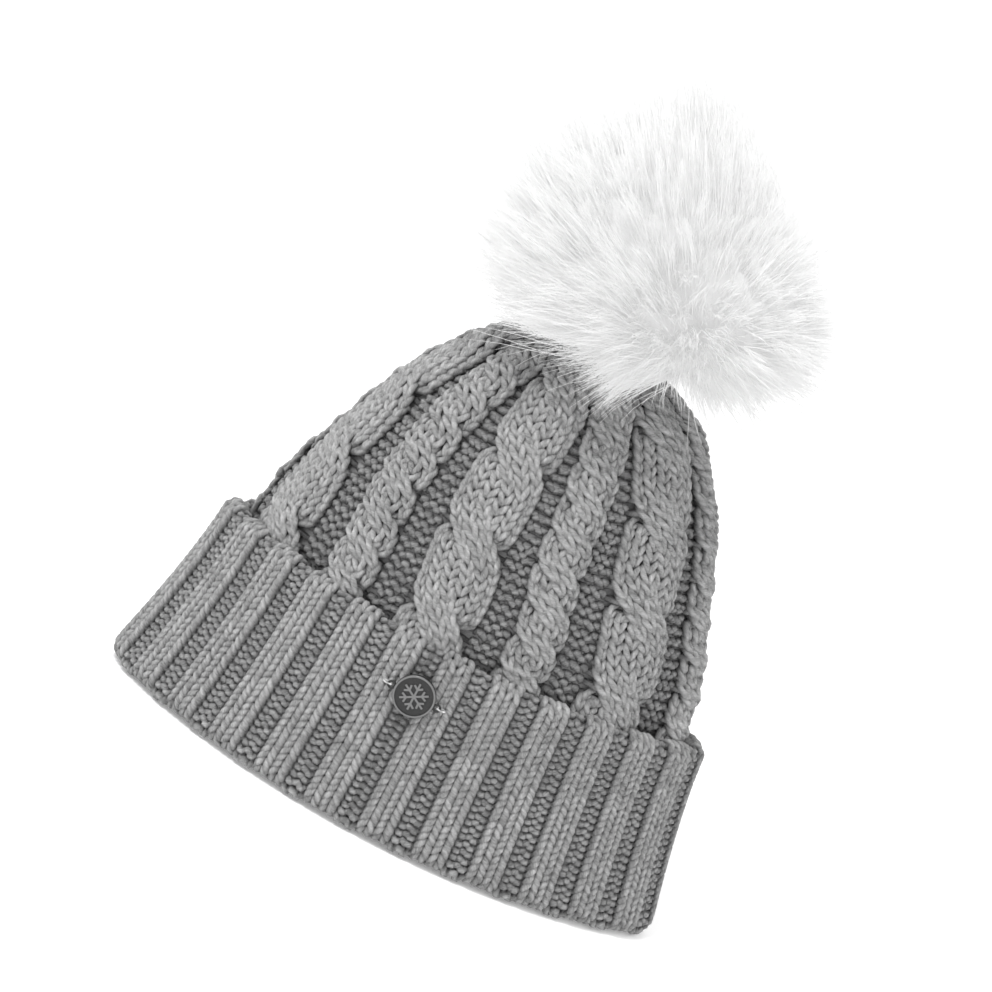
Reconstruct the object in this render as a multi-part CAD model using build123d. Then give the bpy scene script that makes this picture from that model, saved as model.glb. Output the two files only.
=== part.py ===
from build123d import *
from math import cos, pi, radians, sin, tan
import os

# Pom pom beanie, standing on its hem. Millimetres, +Z up, front towards -Y.
# The origin is on the table plane, under the middle of the hat.

# ---- driving dimensions -------------------------------------------------------------
CUFF_HEIGHT = 80.0          # turned-up cuff, hem to top edge
HEM_HALF_WIDTH = 120.2      # half of the flat width at the hem
CUFF_TOP_HALF_WIDTH = 106.2
HEM_HALF_DEPTH = 62.0
CUFF_TOP_HALF_DEPTH = 58.5
CUFF_FLARE_POWER = 1.4      # how the cuff flares towards the hem

BODY_HALF_WIDTH = 95.8      # knitted body where it comes out of the cuff
BODY_HALF_DEPTH = 52.0
BODY_DOME = 121.5           # from the cuff's top edge to the crown
BODY_START = 70.0           # the body begins behind the cuff, on top of the inner band

KNIT_THICK = 5.0            # cable knit
RIB_THICK = 4.5             # ribbed layers
FOLD_HEIGHT = 4.6           # height of the folded edge at the hem
LAYER_GAP = 0.4             # between the cuff and the band at the hem

CROWN_HOLE_R = 6.0
YARN_R = 0.8
THREAD_R = 0.6

POM_R = 66.0                # outline of the dense fur, sideways
POM_HALF_HEIGHT = 60.0
POM_CENTRE = (4.0, 0.0, 249.0)
FUR_SHELL = 3.0
BALL_R = 30.0               # sewn ball under the fur
BALL_CENTRE = (4.0, 0.0, 244.0)
BACKING_THICK = 1.5
FUR_FLOOR_ANGLE = 17.0      # underside of the fur, rising from the neck
NECK_R = 9.0
GATHER_R = 4.8              # the thread that closes the backing round the tie
CUTTER_BOTTOM = 190.0       # cutting bodies reach from below the pom
CUTTER_TOP = 400.0          # to above it

LOOP_R = 3.4                # radius of each thread loop between crown and pom
LOOP_SLACK = 1.6            # distance between two linked threads' centres

BADGE_R = 8.3
BADGE_THICK = 2.0
BADGE_CENTRE = (-5.5, 60.2)  # x and z
BADGE_STAND_OFF = 1.4       # room behind the badge for it to rock
LUG_R = 1.3
LUG_WIRE_R = 0.45

LABEL_WIDTH = 30.0
LABEL_DROP = 35.0
LABEL_THICK = 0.6
LABEL_TOP = 62.0
LABEL_CLEAR = 1.4           # room between the label and the seam behind it
TAB_HEIGHT = 5.0
TAB_GAP = 0.6               # the label hangs this far below its tab
LABEL_STITCH_LENGTH = 5.0

TIP_ROUNDNESS = 0.45        # 1 gives an ellipse, 0 a sharp crease at each side
OUTLINE_POINTS = 32

# ---- worked-out sizes ---------------------------------------------------------------
CROWN_TOP = CUFF_HEIGHT + BODY_DOME
CROWN_LOOP_Z = CROWN_TOP - 0.9
MIDDLE_LOOP_Z = CROWN_LOOP_Z + 2 * LOOP_R - LOOP_SLACK
POM_LOOP_Z = MIDDLE_LOOP_Z + 2 * LOOP_R - LOOP_SLACK
NOD_PIVOT_Z = CROWN_LOOP_Z + LOOP_R - LOOP_SLACK / 2
BUTTON_TOP = CROWN_TOP - 6.5
BUTTON_THICK = 2.5
BUTTON_R = 9.0
DISC_BOTTOM = POM_LOOP_Z + 13.0
DISC_THICK = 2.0
DISC_R = 7.0


def outline(half_width, half_depth, z):
    """Closed lens outline of the hat at height z, creased softly at its two sides."""
    points = []
    for i in range(OUTLINE_POINTS):
        t = 2 * pi * i / OUTLINE_POINTS
        c = cos(t)
        fullness = TIP_ROUNDNESS + (1 - TIP_ROUNDNESS) * abs(c)
        points.append((half_width * sin(t), -half_depth * c * fullness, z))
    return Face(Wire(Spline(*points, periodic=True)))


def skin(sizes):
    """Closed solid through outlines given as (half width, half depth, height)."""
    return loft([outline(*size) for size in sizes])


def cuff_outer(z, inset=0.0):
    flare = (1 - min(z, CUFF_HEIGHT) / CUFF_HEIGHT) ** CUFF_FLARE_POWER
    width = CUFF_TOP_HALF_WIDTH + (HEM_HALF_WIDTH - CUFF_TOP_HALF_WIDTH) * flare
    depth = CUFF_TOP_HALF_DEPTH + (HEM_HALF_DEPTH - CUFF_TOP_HALF_DEPTH) * flare
    return (width - inset, depth - inset, z)


def band_outer(z, inset=0.0):
    """The inner band leans in from the hem to meet the body at BODY_START."""
    flare = (1 - min(z, BODY_START) / BODY_START) ** CUFF_FLARE_POWER
    inside = RIB_THICK + LAYER_GAP
    width = BODY_HALF_WIDTH + (HEM_HALF_WIDTH - inside - BODY_HALF_WIDTH) * flare
    depth = BODY_HALF_DEPTH + (HEM_HALF_DEPTH - inside - BODY_HALF_DEPTH) * flare
    return (width - inset, depth - inset, z)


def body_outer(z, inset=0.0):
    s = max(0.0, z - CUFF_HEIGHT) / (BODY_DOME - inset)
    width = (BODY_HALF_WIDTH - inset) * (1 - s**1.3) ** 0.4
    depth = (BODY_HALF_DEPTH - inset) * (1 - s**2.2) ** 0.42
    return (width, depth, z)


def dome_heights(inset):
    """Heights for the body's outlines, closer together towards the crown."""
    shares = (0.0, 0.17, 0.35, 0.52, 0.67, 0.79, 0.88, 0.94, 0.975, 0.995)
    return [BODY_START] + [CUFF_HEIGHT + (BODY_DOME - inset) * s for s in shares]


def heights(low, high, count):
    return [low + (high - low) * i / (count - 1) for i in range(count)]


def at(x, y, z):
    return Location((x, y, z))


def rod(radius, low, high, x=0.0, y=0.0):
    """Upright round bar from low to high."""
    return at(x, y, low) * Cylinder(radius, high - low, align=(Align.CENTER, Align.CENTER, Align.MIN))


def ring(x, y, z, axis, major, minor):
    """Thread or wire ring whose hole looks along axis."""
    return Plane(origin=(x, y, z), z_dir=axis) * Torus(major, minor)


def ball(centre, radius, half_height=None):
    shape = Sphere(radius)
    if half_height:
        shape = scale(shape, (1, 1, half_height / radius))
    return Location(centre) * shape


parts = {}

# ---- knitted fabric: one piece of knitting, in its three layers ------------------------
body_solid = skin([body_outer(z) for z in dome_heights(0.0)])
body_space = skin([body_outer(z, KNIT_THICK) for z in dome_heights(KNIT_THICK)])
crown_hole = rod(CROWN_HOLE_R, CUFF_HEIGHT, CROWN_TOP + 5)
parts["knit_body"] = body_solid - body_space - crown_hole

band_heights = heights(FOLD_HEIGHT, BODY_START, 6)
band_solid = skin([band_outer(z) for z in band_heights])
band_space = skin([band_outer(z, RIB_THICK) for z in band_heights])
parts["rib_band"] = band_solid - band_space

hem_flat = cuff_outer(0.0, 1.6)
cuff_heights = heights(FOLD_HEIGHT, CUFF_HEIGHT, 6)
cuff_solid = skin([hem_flat] + [cuff_outer(z) for z in cuff_heights])
cuff_space = skin([cuff_outer(z, RIB_THICK) for z in heights(FOLD_HEIGHT, CUFF_HEIGHT, 6)])
hem_width, hem_depth, _ = band_outer(FOLD_HEIGHT, RIB_THICK)
mouth = skin([(hem_width, hem_depth, -1.0), (hem_width, hem_depth, FOLD_HEIGHT)])
parts["turned_cuff"] = cuff_solid - cuff_space - mouth

# ---- seams at the centre back ---------------------------------------------------------
SEAM_WIDTH = 5.0
SEAM_DEPTH = 3.0


def back_strip(low, high):
    return at(0, 0, low) * Box(SEAM_WIDTH, 200, high - low, align=(Align.CENTER, Align.MIN, Align.MIN))


body_lining = skin([body_outer(z, KNIT_THICK + SEAM_DEPTH) for z in dome_heights(KNIT_THICK + SEAM_DEPTH)])
parts["body_seam"] = (body_space - body_lining) & back_strip(BODY_START + 0.5, CROWN_TOP - 25)
band_lining = skin([band_outer(z, RIB_THICK + SEAM_DEPTH) for z in band_heights])
parts["rib_seam"] = (band_space - band_lining) & back_strip(FOLD_HEIGHT + 1, BODY_START - 0.5)

# Short threads that hold the cuff up against the body: centre back and both sides.
TACK_Z = CUFF_HEIGHT - 6.0
tack_places = []
for side in (-1, 1):
    start = BODY_HALF_WIDTH - KNIT_THICK + 1
    reach = CUFF_TOP_HALF_WIDTH - 1 - start
    bar = Rot(0, 90, 0) * Cylinder(THREAD_R, reach)
    tack_places.append(at(side * (start + reach / 2), 0, TACK_Z) * bar)
back_start = BODY_HALF_DEPTH - KNIT_THICK + 1
back_reach = CUFF_TOP_HALF_DEPTH - 1 - back_start
for x in (-6, 6):
    bar = Rot(90, 0, 0) * Cylinder(THREAD_R, back_reach)
    tack_places.append(at(x, back_start + back_reach / 2, TACK_Z) * bar)
parts["cuff_tacks"] = Compound(children=[Solid(t.solid().wrapped) for t in tack_places])

# ---- crown closure and what the pom hangs on --------------------------------------------
parts["crown_gather_yarn"] = ring(0, 0, CROWN_TOP - 2.5, (0, 0, 1), CROWN_HOLE_R - YARN_R - 0.1, YARN_R)

LEG_Y = 2.2
button_bottom = BUTTON_TOP - BUTTON_THICK
button = rod(BUTTON_R, button_bottom, BUTTON_TOP)
for y in (-LEG_Y, LEG_Y):
    button -= rod(THREAD_R + 0.4, button_bottom - 1, BUTTON_TOP + 1, y=y)
parts["crown_button"] = fillet(button.edges().filter_by(GeomType.CIRCLE).sort_by(SortBy.RADIUS)[-2:], 0.8)

knot_z = button_bottom - THREAD_R - 0.2
tie = ring(0, 0, CROWN_LOOP_Z, (1, 0, 0), LOOP_R, THREAD_R)
for y in (-LEG_Y, LEG_Y):
    tie += rod(THREAD_R, knot_z, CROWN_LOOP_Z - (LOOP_R**2 - LEG_Y**2) ** 0.5, y=y)
tie += at(0, 0, knot_z) * Rot(90, 0, 0) * Cylinder(THREAD_R, 2 * LEG_Y)
for y in (-LEG_Y, LEG_Y):
    tie += at(0, y, knot_z) * Sphere(THREAD_R)
parts["crown_tie"] = tie

parts["middle_tie"] = ring(0, 0, MIDDLE_LOOP_Z, (0, 1, 0), LOOP_R, THREAD_R)

stem_r = 0.9
disc_top = DISC_BOTTOM + DISC_THICK
pom_tie = ring(0, 0, POM_LOOP_Z, (1, 0, 0), LOOP_R, THREAD_R)
pom_tie += rod(stem_r, POM_LOOP_Z + LOOP_R, disc_top + 1.5)
pom_tie += at(0, 0, disc_top + 2.1) * Sphere(1.8)
parts["pom_tie"] = pom_tie
parts["pom_anchor_disc"] = rod(DISC_R, DISC_BOTTOM, disc_top) - rod(stem_r + 0.2, DISC_BOTTOM - 1, disc_top + 1)

# ---- pom: fur fabric gathered round a ball of fibre -----------------------------------
stem_hole = rod(stem_r + 0.6, CUTTER_BOTTOM, DISC_BOTTOM)
pocket = rod(DISC_R + 0.6, DISC_BOTTOM - 0.6, disc_top + 4.5)
neck_hole = rod(2.6, CUTTER_BOTTOM, BALL_CENTRE[2] - BALL_R / 2)
parts["pom_filling"] = ball(BALL_CENTRE, BALL_R - BACKING_THICK - 0.1) - stem_hole - pocket
backing = ball(BALL_CENTRE, BALL_R) - ball(BALL_CENTRE, BALL_R - BACKING_THICK)
parts["pom_backing"] = backing - neck_hole
parts["pom_gather_thread"] = ring(0, 0, POM_LOOP_Z + 2.2, (0, 0, 1), GATHER_R, 0.5)

CONE_REACH = 2 * POM_R
cone_rise = CONE_REACH * tan(radians(FUR_FLOOR_ANGLE))


def above_neck(lift):
    """Everything above a shallow funnel that rises from the nod pivot."""
    low = NOD_PIVOT_Z + lift
    edge = (CONE_REACH, 0, low + cone_rise)
    profile = Polyline((0, 0, low), edge, (CONE_REACH, 0, CUTTER_TOP), (0, 0, CUTTER_TOP), close=True)
    return revolve(make_face(profile.edges()), Axis.Z)


fur_outer = ball(POM_CENTRE, POM_R, POM_HALF_HEIGHT) & above_neck(0)
fur_inner = ball(POM_CENTRE, POM_R - FUR_SHELL, POM_HALF_HEIGHT - FUR_SHELL) & above_neck(FUR_SHELL)
collar = rod(NECK_R + 4, NOD_PIVOT_Z, BALL_CENTRE[2])
fur = (fur_outer - fur_inner) + (fur_outer & collar)
parts["pom_fur"] = fur - rod(NECK_R, CUTTER_BOTTOM, BALL_CENTRE[2]) - ball(BALL_CENTRE, BALL_R)

# ---- badge ---------------------------------------------------------------------------------
badge_x, badge_z = BADGE_CENTRE
badge_back = -(cuff_outer(badge_z)[1] + BADGE_STAND_OFF)
facing = Plane(origin=(badge_x, badge_back, badge_z), x_dir=(1, 0, 0), z_dir=(0, -1, 0))
RIM_WIDTH = 0.8
RECESS = 0.5
MOTIF_REACH = 5.6             # a six-armed snowflake
MOTIF_HEIGHT = 0.42
ARM_WIDTH = 0.8
TWIG_LENGTH = 2.2
TWIG_START = 3.0
base_align = (Align.CENTER, Align.CENTER, Align.MIN)
disc = Cylinder(BADGE_R, BADGE_THICK, align=base_align)
disc = fillet(disc.edges().sort_by(Axis.Z)[-1], 0.4)
floor_z = BADGE_THICK - RECESS
disc -= Location((0, 0, floor_z)) * Cylinder(BADGE_R - RIM_WIDTH, 2, align=base_align)
arm_align = (Align.MIN, Align.CENTER, Align.MIN)
arm = Box(MOTIF_REACH, ARM_WIDTH, MOTIF_HEIGHT, align=arm_align)
twig = Box(TWIG_LENGTH, ARM_WIDTH, MOTIF_HEIGHT, align=arm_align)
for spread in (-55, 55):
    arm += Location((TWIG_START, 0, 0)) * Rot(0, 0, spread) * twig
for turn in range(0, 360, 60):
    disc += Rot(0, 0, turn + 30) * Location((0, 0, floor_z)) * arm
lug_centre = BADGE_R + LUG_R
lug_z = BADGE_THICK / 2
for side in (-1, 1):
    disc += Location((side * lug_centre, 0, lug_z)) * Torus(LUG_R, LUG_WIRE_R)
parts["badge"] = facing * disc

STITCH_R = 1.7
for name, side in (("badge_stitch_left", -1), ("badge_stitch_right", 1)):
    x = badge_x + side * (lug_centre + STITCH_R)
    parts[name] = ring(x, badge_back - 0.2, badge_z, (0, 0, 1), STITCH_R, 0.3)

# ---- care label inside the back of the band ----------------------------------------------------
label_face = band_outer(LABEL_TOP, RIB_THICK + SEAM_DEPTH)[1]
label_y = label_face - LABEL_CLEAR
tab_low = LABEL_TOP + TAB_GAP
tab = at(0, label_y, tab_low) * Box(LABEL_WIDTH, LABEL_THICK, TAB_HEIGHT, align=base_align)
parts["label_tab"] = tab
parts["care_label"] = at(0, label_y, LABEL_TOP) * Box(
    LABEL_WIDTH, LABEL_THICK, LABEL_DROP, align=(Align.CENTER, Align.CENTER, Align.MAX)
)
stitches = []
for x in (-12, -4, 4, 12):
    bar = Rot(90, 0, 0) * Cylinder(0.3, LABEL_STITCH_LENGTH)
    middle_y = label_y + LABEL_STITCH_LENGTH / 2 - LABEL_THICK
    stitches.append(at(x, middle_y, tab_low + TAB_HEIGHT / 2) * bar)
parts["label_stitches"] = Compound(children=[Solid(s.solid().wrapped) for s in stitches])

# ---- write one STEP per piece ---------------------------------------------------------------
os.makedirs("parts", exist_ok=True)
for node, shape in parts.items():
    export_step(shape, f"parts/{node}.step")
print("nod pivot z", round(NOD_PIVOT_Z, 3), "sway pivot z", round(MIDDLE_LOOP_Z + LOOP_R - LOOP_SLACK / 2, 3))
print("badge back y", round(badge_back, 3), "label y", round(label_y, 3))
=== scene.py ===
import math

import bpy
import numpy as np
from mathutils import Matrix, Vector


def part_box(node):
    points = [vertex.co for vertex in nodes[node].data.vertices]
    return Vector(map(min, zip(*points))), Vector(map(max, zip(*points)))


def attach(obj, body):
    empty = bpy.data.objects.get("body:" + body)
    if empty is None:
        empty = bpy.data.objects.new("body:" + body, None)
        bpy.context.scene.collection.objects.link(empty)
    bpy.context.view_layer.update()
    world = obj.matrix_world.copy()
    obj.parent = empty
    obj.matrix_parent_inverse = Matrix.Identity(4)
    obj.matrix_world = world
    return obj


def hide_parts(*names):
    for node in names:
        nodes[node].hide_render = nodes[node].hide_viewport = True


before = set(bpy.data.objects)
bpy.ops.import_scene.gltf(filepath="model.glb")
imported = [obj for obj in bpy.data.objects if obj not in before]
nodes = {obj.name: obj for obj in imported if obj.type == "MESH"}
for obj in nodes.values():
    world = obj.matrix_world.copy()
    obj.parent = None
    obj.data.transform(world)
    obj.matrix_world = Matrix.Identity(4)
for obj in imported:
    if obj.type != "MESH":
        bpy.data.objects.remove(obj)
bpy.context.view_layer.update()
MM = 0.001
rng = np.random.default_rng(7)

# ---- sizes of the knitting, in millimetres ----------------------------------
STITCHES = 96               # stitches in one round
TIP_ROUNDNESS = 0.45        # of the hat's lens-shaped outline
HEM_HALF_WIDTH, CUFF_TOP_HALF_WIDTH = 122.3, 106.2
HEM_HALF_DEPTH, CUFF_TOP_HALF_DEPTH = 62.0, 58.5
BODY_HALF_WIDTH, BODY_HALF_DEPTH = 95.8, 52.0
CUFF_HEIGHT, BODY_START, BODY_DOME = 80.0, 70.0, 121.5
BODY_SLIM = 2.0             # the knitting draws in this far above the cuff,
SLIM_FROM, SLIM_OVER = 98.0, 35.0   # from this height, over this much
FLARE_POWER = 1.4
LAYERS = 4.9                # rib thickness and the gap beside it
YARN_R = 1.42
SHEET_INSET = 2.5           # middle of the knitting below the CAD surface
DOME_WIDTH_POWERS = (1.3, 0.4)      # how the body closes towards the crown, sideways
DOME_DEPTH_POWERS = (2.2, 0.42)     # and from front to back


# ---- mesh helpers -----------------------------------------------------------
def new_mesh(name, verts, quads, tris=()):
    """Smooth mesh object from arrays in millimetres."""
    me = bpy.data.meshes.new(name)
    counts, corners = [], []
    for size, faces in ((4, quads), (3, tris)):
        if len(faces):
            counts.append(np.full(len(faces), size, np.int32))
            corners.append(np.asarray(faces, np.int32).ravel())
    counts = np.concatenate(counts)
    corners = np.concatenate(corners)
    me.vertices.add(len(verts))
    me.vertices.foreach_set("co", (np.asarray(verts, np.float32) * MM).ravel())
    me.loops.add(len(corners))
    me.loops.foreach_set("vertex_index", corners)
    me.polygons.add(len(counts))
    starts = np.concatenate([[0], np.cumsum(counts)[:-1]]).astype(np.int32)
    me.polygons.foreach_set("loop_start", starts)
    me.update(calc_edges=True)
    me.polygons.foreach_set("use_smooth", np.full(len(counts), True))
    me.update()
    obj = bpy.data.objects.new(name, me)
    bpy.context.scene.collection.objects.link(obj)
    return obj


def set_attribute(obj, name, values):
    """Point attribute: one number or three numbers for each vertex."""
    values = np.asarray(values, np.float32)
    kind = "FLOAT" if values.ndim == 1 else "FLOAT_VECTOR"
    layer = obj.data.attributes.new(name, kind, "POINT")
    layer.data.foreach_set("value" if kind == "FLOAT" else "vector", values.ravel())


def unit(v):
    return v / np.maximum(np.linalg.norm(v, axis=-1, keepdims=True), 1e-9)


def tubes(paths, side_hint, radius, sides, closed):
    """Tubes round paths (tube, sample, xyz). side_hint is a vector never along the path.

    Returns vertices, quads, end triangles and each vertex's angle round its tube."""
    count, samples, _ = paths.shape
    if closed:
        tangent = np.roll(paths, -1, 1) - np.roll(paths, 1, 1)
    else:
        tangent = np.gradient(paths, axis=1)
    tangent = unit(tangent)
    side = unit(np.cross(tangent, side_hint))
    up = np.cross(side, tangent)
    angle = 2 * np.pi * np.arange(sides) / sides
    radius = np.broadcast_to(radius, (count, samples))[..., None, None]
    ring = side[:, :, None] * np.cos(angle)[:, None] + up[:, :, None] * np.sin(angle)[:, None]
    verts = (paths[:, :, None] + ring * radius).reshape(-1, 3)
    index = np.arange(count * samples * sides).reshape(count, samples, sides)
    here = index if closed else index[:, :-1]
    there = np.roll(index, -1, 1) if closed else index[:, 1:]
    quads = np.stack([here, there, np.roll(there, -1, 2), np.roll(here, -1, 2)], -1).reshape(-1, 4)
    tris = np.zeros((0, 3), int)
    if not closed:
        middles = len(verts) + np.arange(2 * count).reshape(2, count)
        verts = np.concatenate([verts, paths[:, 0], paths[:, -1]])
        fans = []
        for middle, rim in ((middles[0], index[:, 0]), (middles[1], index[:, -1, ::-1])):
            hub = np.broadcast_to(middle[:, None], rim.shape)
            fans.append(np.stack([hub, rim, np.roll(rim, -1, 1)], -1).reshape(-1, 3))
        tris = np.concatenate(fans)
    turn = np.broadcast_to(angle, (count, samples, sides)).reshape(-1)
    if not closed:
        turn = np.concatenate([turn, np.zeros(2 * count)])
    return verts, quads, tris, turn


def smooth_step(x):
    x = np.clip(x, 0, 1)
    return x * x * (3 - 2 * x)


# ---- the hat's outline ------------------------------------------------------
LENS_POINTS = 1600


def lens(half_width, half_depth):
    """The hat's outline, creased softly at its two sides, from the front towards +X."""
    t = np.linspace(0, 2 * np.pi, LENS_POINTS + 1)
    c = np.cos(t)
    fullness = TIP_ROUNDNESS + (1 - TIP_ROUNDNESS) * np.abs(c)
    return half_width * np.sin(t), -half_depth * c * fullness


def cuff_size(z):
    flare = (1 - np.minimum(z, CUFF_HEIGHT) / CUFF_HEIGHT) ** FLARE_POWER
    return (CUFF_TOP_HALF_WIDTH + (HEM_HALF_WIDTH - CUFF_TOP_HALF_WIDTH) * flare,
            CUFF_TOP_HALF_DEPTH + (HEM_HALF_DEPTH - CUFF_TOP_HALF_DEPTH) * flare)


def band_size(z):
    flare = (1 - np.minimum(z, BODY_START) / BODY_START) ** FLARE_POWER
    return (BODY_HALF_WIDTH + (HEM_HALF_WIDTH - LAYERS - BODY_HALF_WIDTH) * flare,
            BODY_HALF_DEPTH + (HEM_HALF_DEPTH - LAYERS - BODY_HALF_DEPTH) * flare)


def body_size(z, inset):
    s = np.clip((z - CUFF_HEIGHT) / (BODY_DOME - inset), 0, 0.9999)
    slim = BODY_SLIM * smooth_step((z - SLIM_FROM) / SLIM_OVER) * (1 - s**4)
    (rise_w, close_w), (rise_d, close_d) = DOME_WIDTH_POWERS, DOME_DEPTH_POWERS
    return ((BODY_HALF_WIDTH - inset) * (1 - s**rise_w) ** close_w - slim,
            (BODY_HALF_DEPTH - inset) * (1 - s**rise_d) ** close_d)


class Surface:
    """A closed round surface. Places are (round the hat from the front, along the profile)."""

    COLUMNS = 1440

    def __init__(self, widths, depths, heights):
        step = np.hypot(np.diff(heights), 0.5 * (np.abs(np.diff(widths)) + np.abs(np.diff(depths))))
        self.along = np.concatenate([[0], np.cumsum(step)])
        self.length = self.along[-1]
        share = np.arange(self.COLUMNS + 1) / self.COLUMNS
        grid = np.zeros((len(heights), self.COLUMNS + 1, 3))
        self.round = np.zeros(len(heights))
        for i, (w, d, z) in enumerate(zip(widths, depths, heights)):
            x, y = lens(w, d)
            s = np.concatenate([[0], np.cumsum(np.hypot(np.diff(x), np.diff(y)))])
            self.round[i] = s[-1]
            grid[i, :, 0] = np.interp(share * s[-1], s, x)
            grid[i, :, 1] = np.interp(share * s[-1], s, y)
            grid[i, :, 2] = z
        self.grid = grid
        across = (np.roll(grid[:, :-1], -1, 1) - np.roll(grid[:, :-1], 1, 1))
        across = np.concatenate([across, across[:, :1]], 1)
        upward = np.gradient(grid, axis=0)
        self.normal = unit(np.cross(across, upward))

    def perimeter(self, along):
        return np.interp(along, self.along, self.round)

    def __call__(self, share, along, lift):
        """Points lift mm out from the surface."""
        column = np.mod(share, 1.0) * self.COLUMNS
        c0 = np.floor(column).astype(int)
        u = (column - c0)[..., None]
        row = np.interp(along, self.along, np.arange(len(self.along)))
        r0 = np.minimum(np.floor(row).astype(int), len(self.along) - 2)
        v = (row - r0)[..., None]

        def mix(table):
            low = table[r0, c0] * (1 - u) + table[r0, c0 + 1] * u
            high = table[r0 + 1, c0] * (1 - u) + table[r0 + 1, c0 + 1] * u
            return low * (1 - v) + high * v

        normal = unit(mix(self.normal))
        return mix(self.grid) + normal * np.asarray(lift)[..., None], normal


# The ribbed sheet runs from the top of the inner band, down, round the hem, and up to the cuff's top edge
FOLD_R = 2.2
FOLD_Z = 5.4
ROLL_R = 2.4                # the cuff's top edge rolls in over itself
BAND_TOP, BAND_INSET = 74.0, 2.2
RIB_TOP = CUFF_HEIGHT - ROLL_R - 2.2
inner_z = np.linspace(BAND_TOP, FOLD_Z, 60)
outer_z = np.linspace(FOLD_Z, RIB_TOP, 80)
turn = np.linspace(0, np.pi, 24)[1:-1]
inner_w, inner_d = band_size(inner_z)
outer_w, outer_d = cuff_size(outer_z)
fold_w, fold_d = cuff_size(np.array(FOLD_Z))
sink = SHEET_INSET + FOLD_R * (1 + np.cos(turn))
over = np.linspace(0, 0.95 * np.pi, 20)[1:]
roll_in = SHEET_INSET + ROLL_R * (1 - np.cos(over))
roll_w, roll_d = cuff_size(np.array(RIB_TOP))
rib_surface = Surface(
    np.concatenate([inner_w - BAND_INSET, fold_w - sink, outer_w - SHEET_INSET, roll_w - roll_in]),
    np.concatenate([inner_d - BAND_INSET, fold_d - sink, outer_d - SHEET_INSET, roll_d - roll_in]),
    np.concatenate([inner_z, FOLD_Z - FOLD_R * np.sin(turn), outer_z, RIB_TOP + ROLL_R * np.sin(over)]))

# from inside the cuff to just short of the crown, closer together near the crown
body_z = CUFF_HEIGHT + (BODY_DOME - SHEET_INSET) * np.sin(np.linspace(-0.055, np.pi / 2 - 0.035, 200))
body_w, body_d = body_size(body_z, SHEET_INSET)
body_surface = Surface(body_w, body_d, body_z)


# ---- stitches ---------------------------------------------------------------
MOST_LEAN = 1.3             # tangent of the most that a stitch leans
PURL = (0.13, 1.2)
TURN_SHARE = 0.30           # share of a half stitch in which it turns to its neighbour's face
SEAM_FROM = 0.55            # share of a half stitch after which it bends to meet its neighbour
LEAN_STEP = 0.3             # courses above and below where the lean is measured
THIN, THICKER = 0.80, 0.26  # share of its radius that the yarn has behind the sheet, and more in front
UNEVENNESS = 0.10           # spread of the small differences between stitches
# what an unevenness of 1 does to a loop's height, its place along and across, its depth and its thickness
UNEVEN_RISE, UNEVEN_ALONG, UNEVEN_ASIDE, UNEVEN_DEPTH, UNEVEN_PLUMP = 0.35, 0.5, 0.25, 0.15, 0.02


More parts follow.
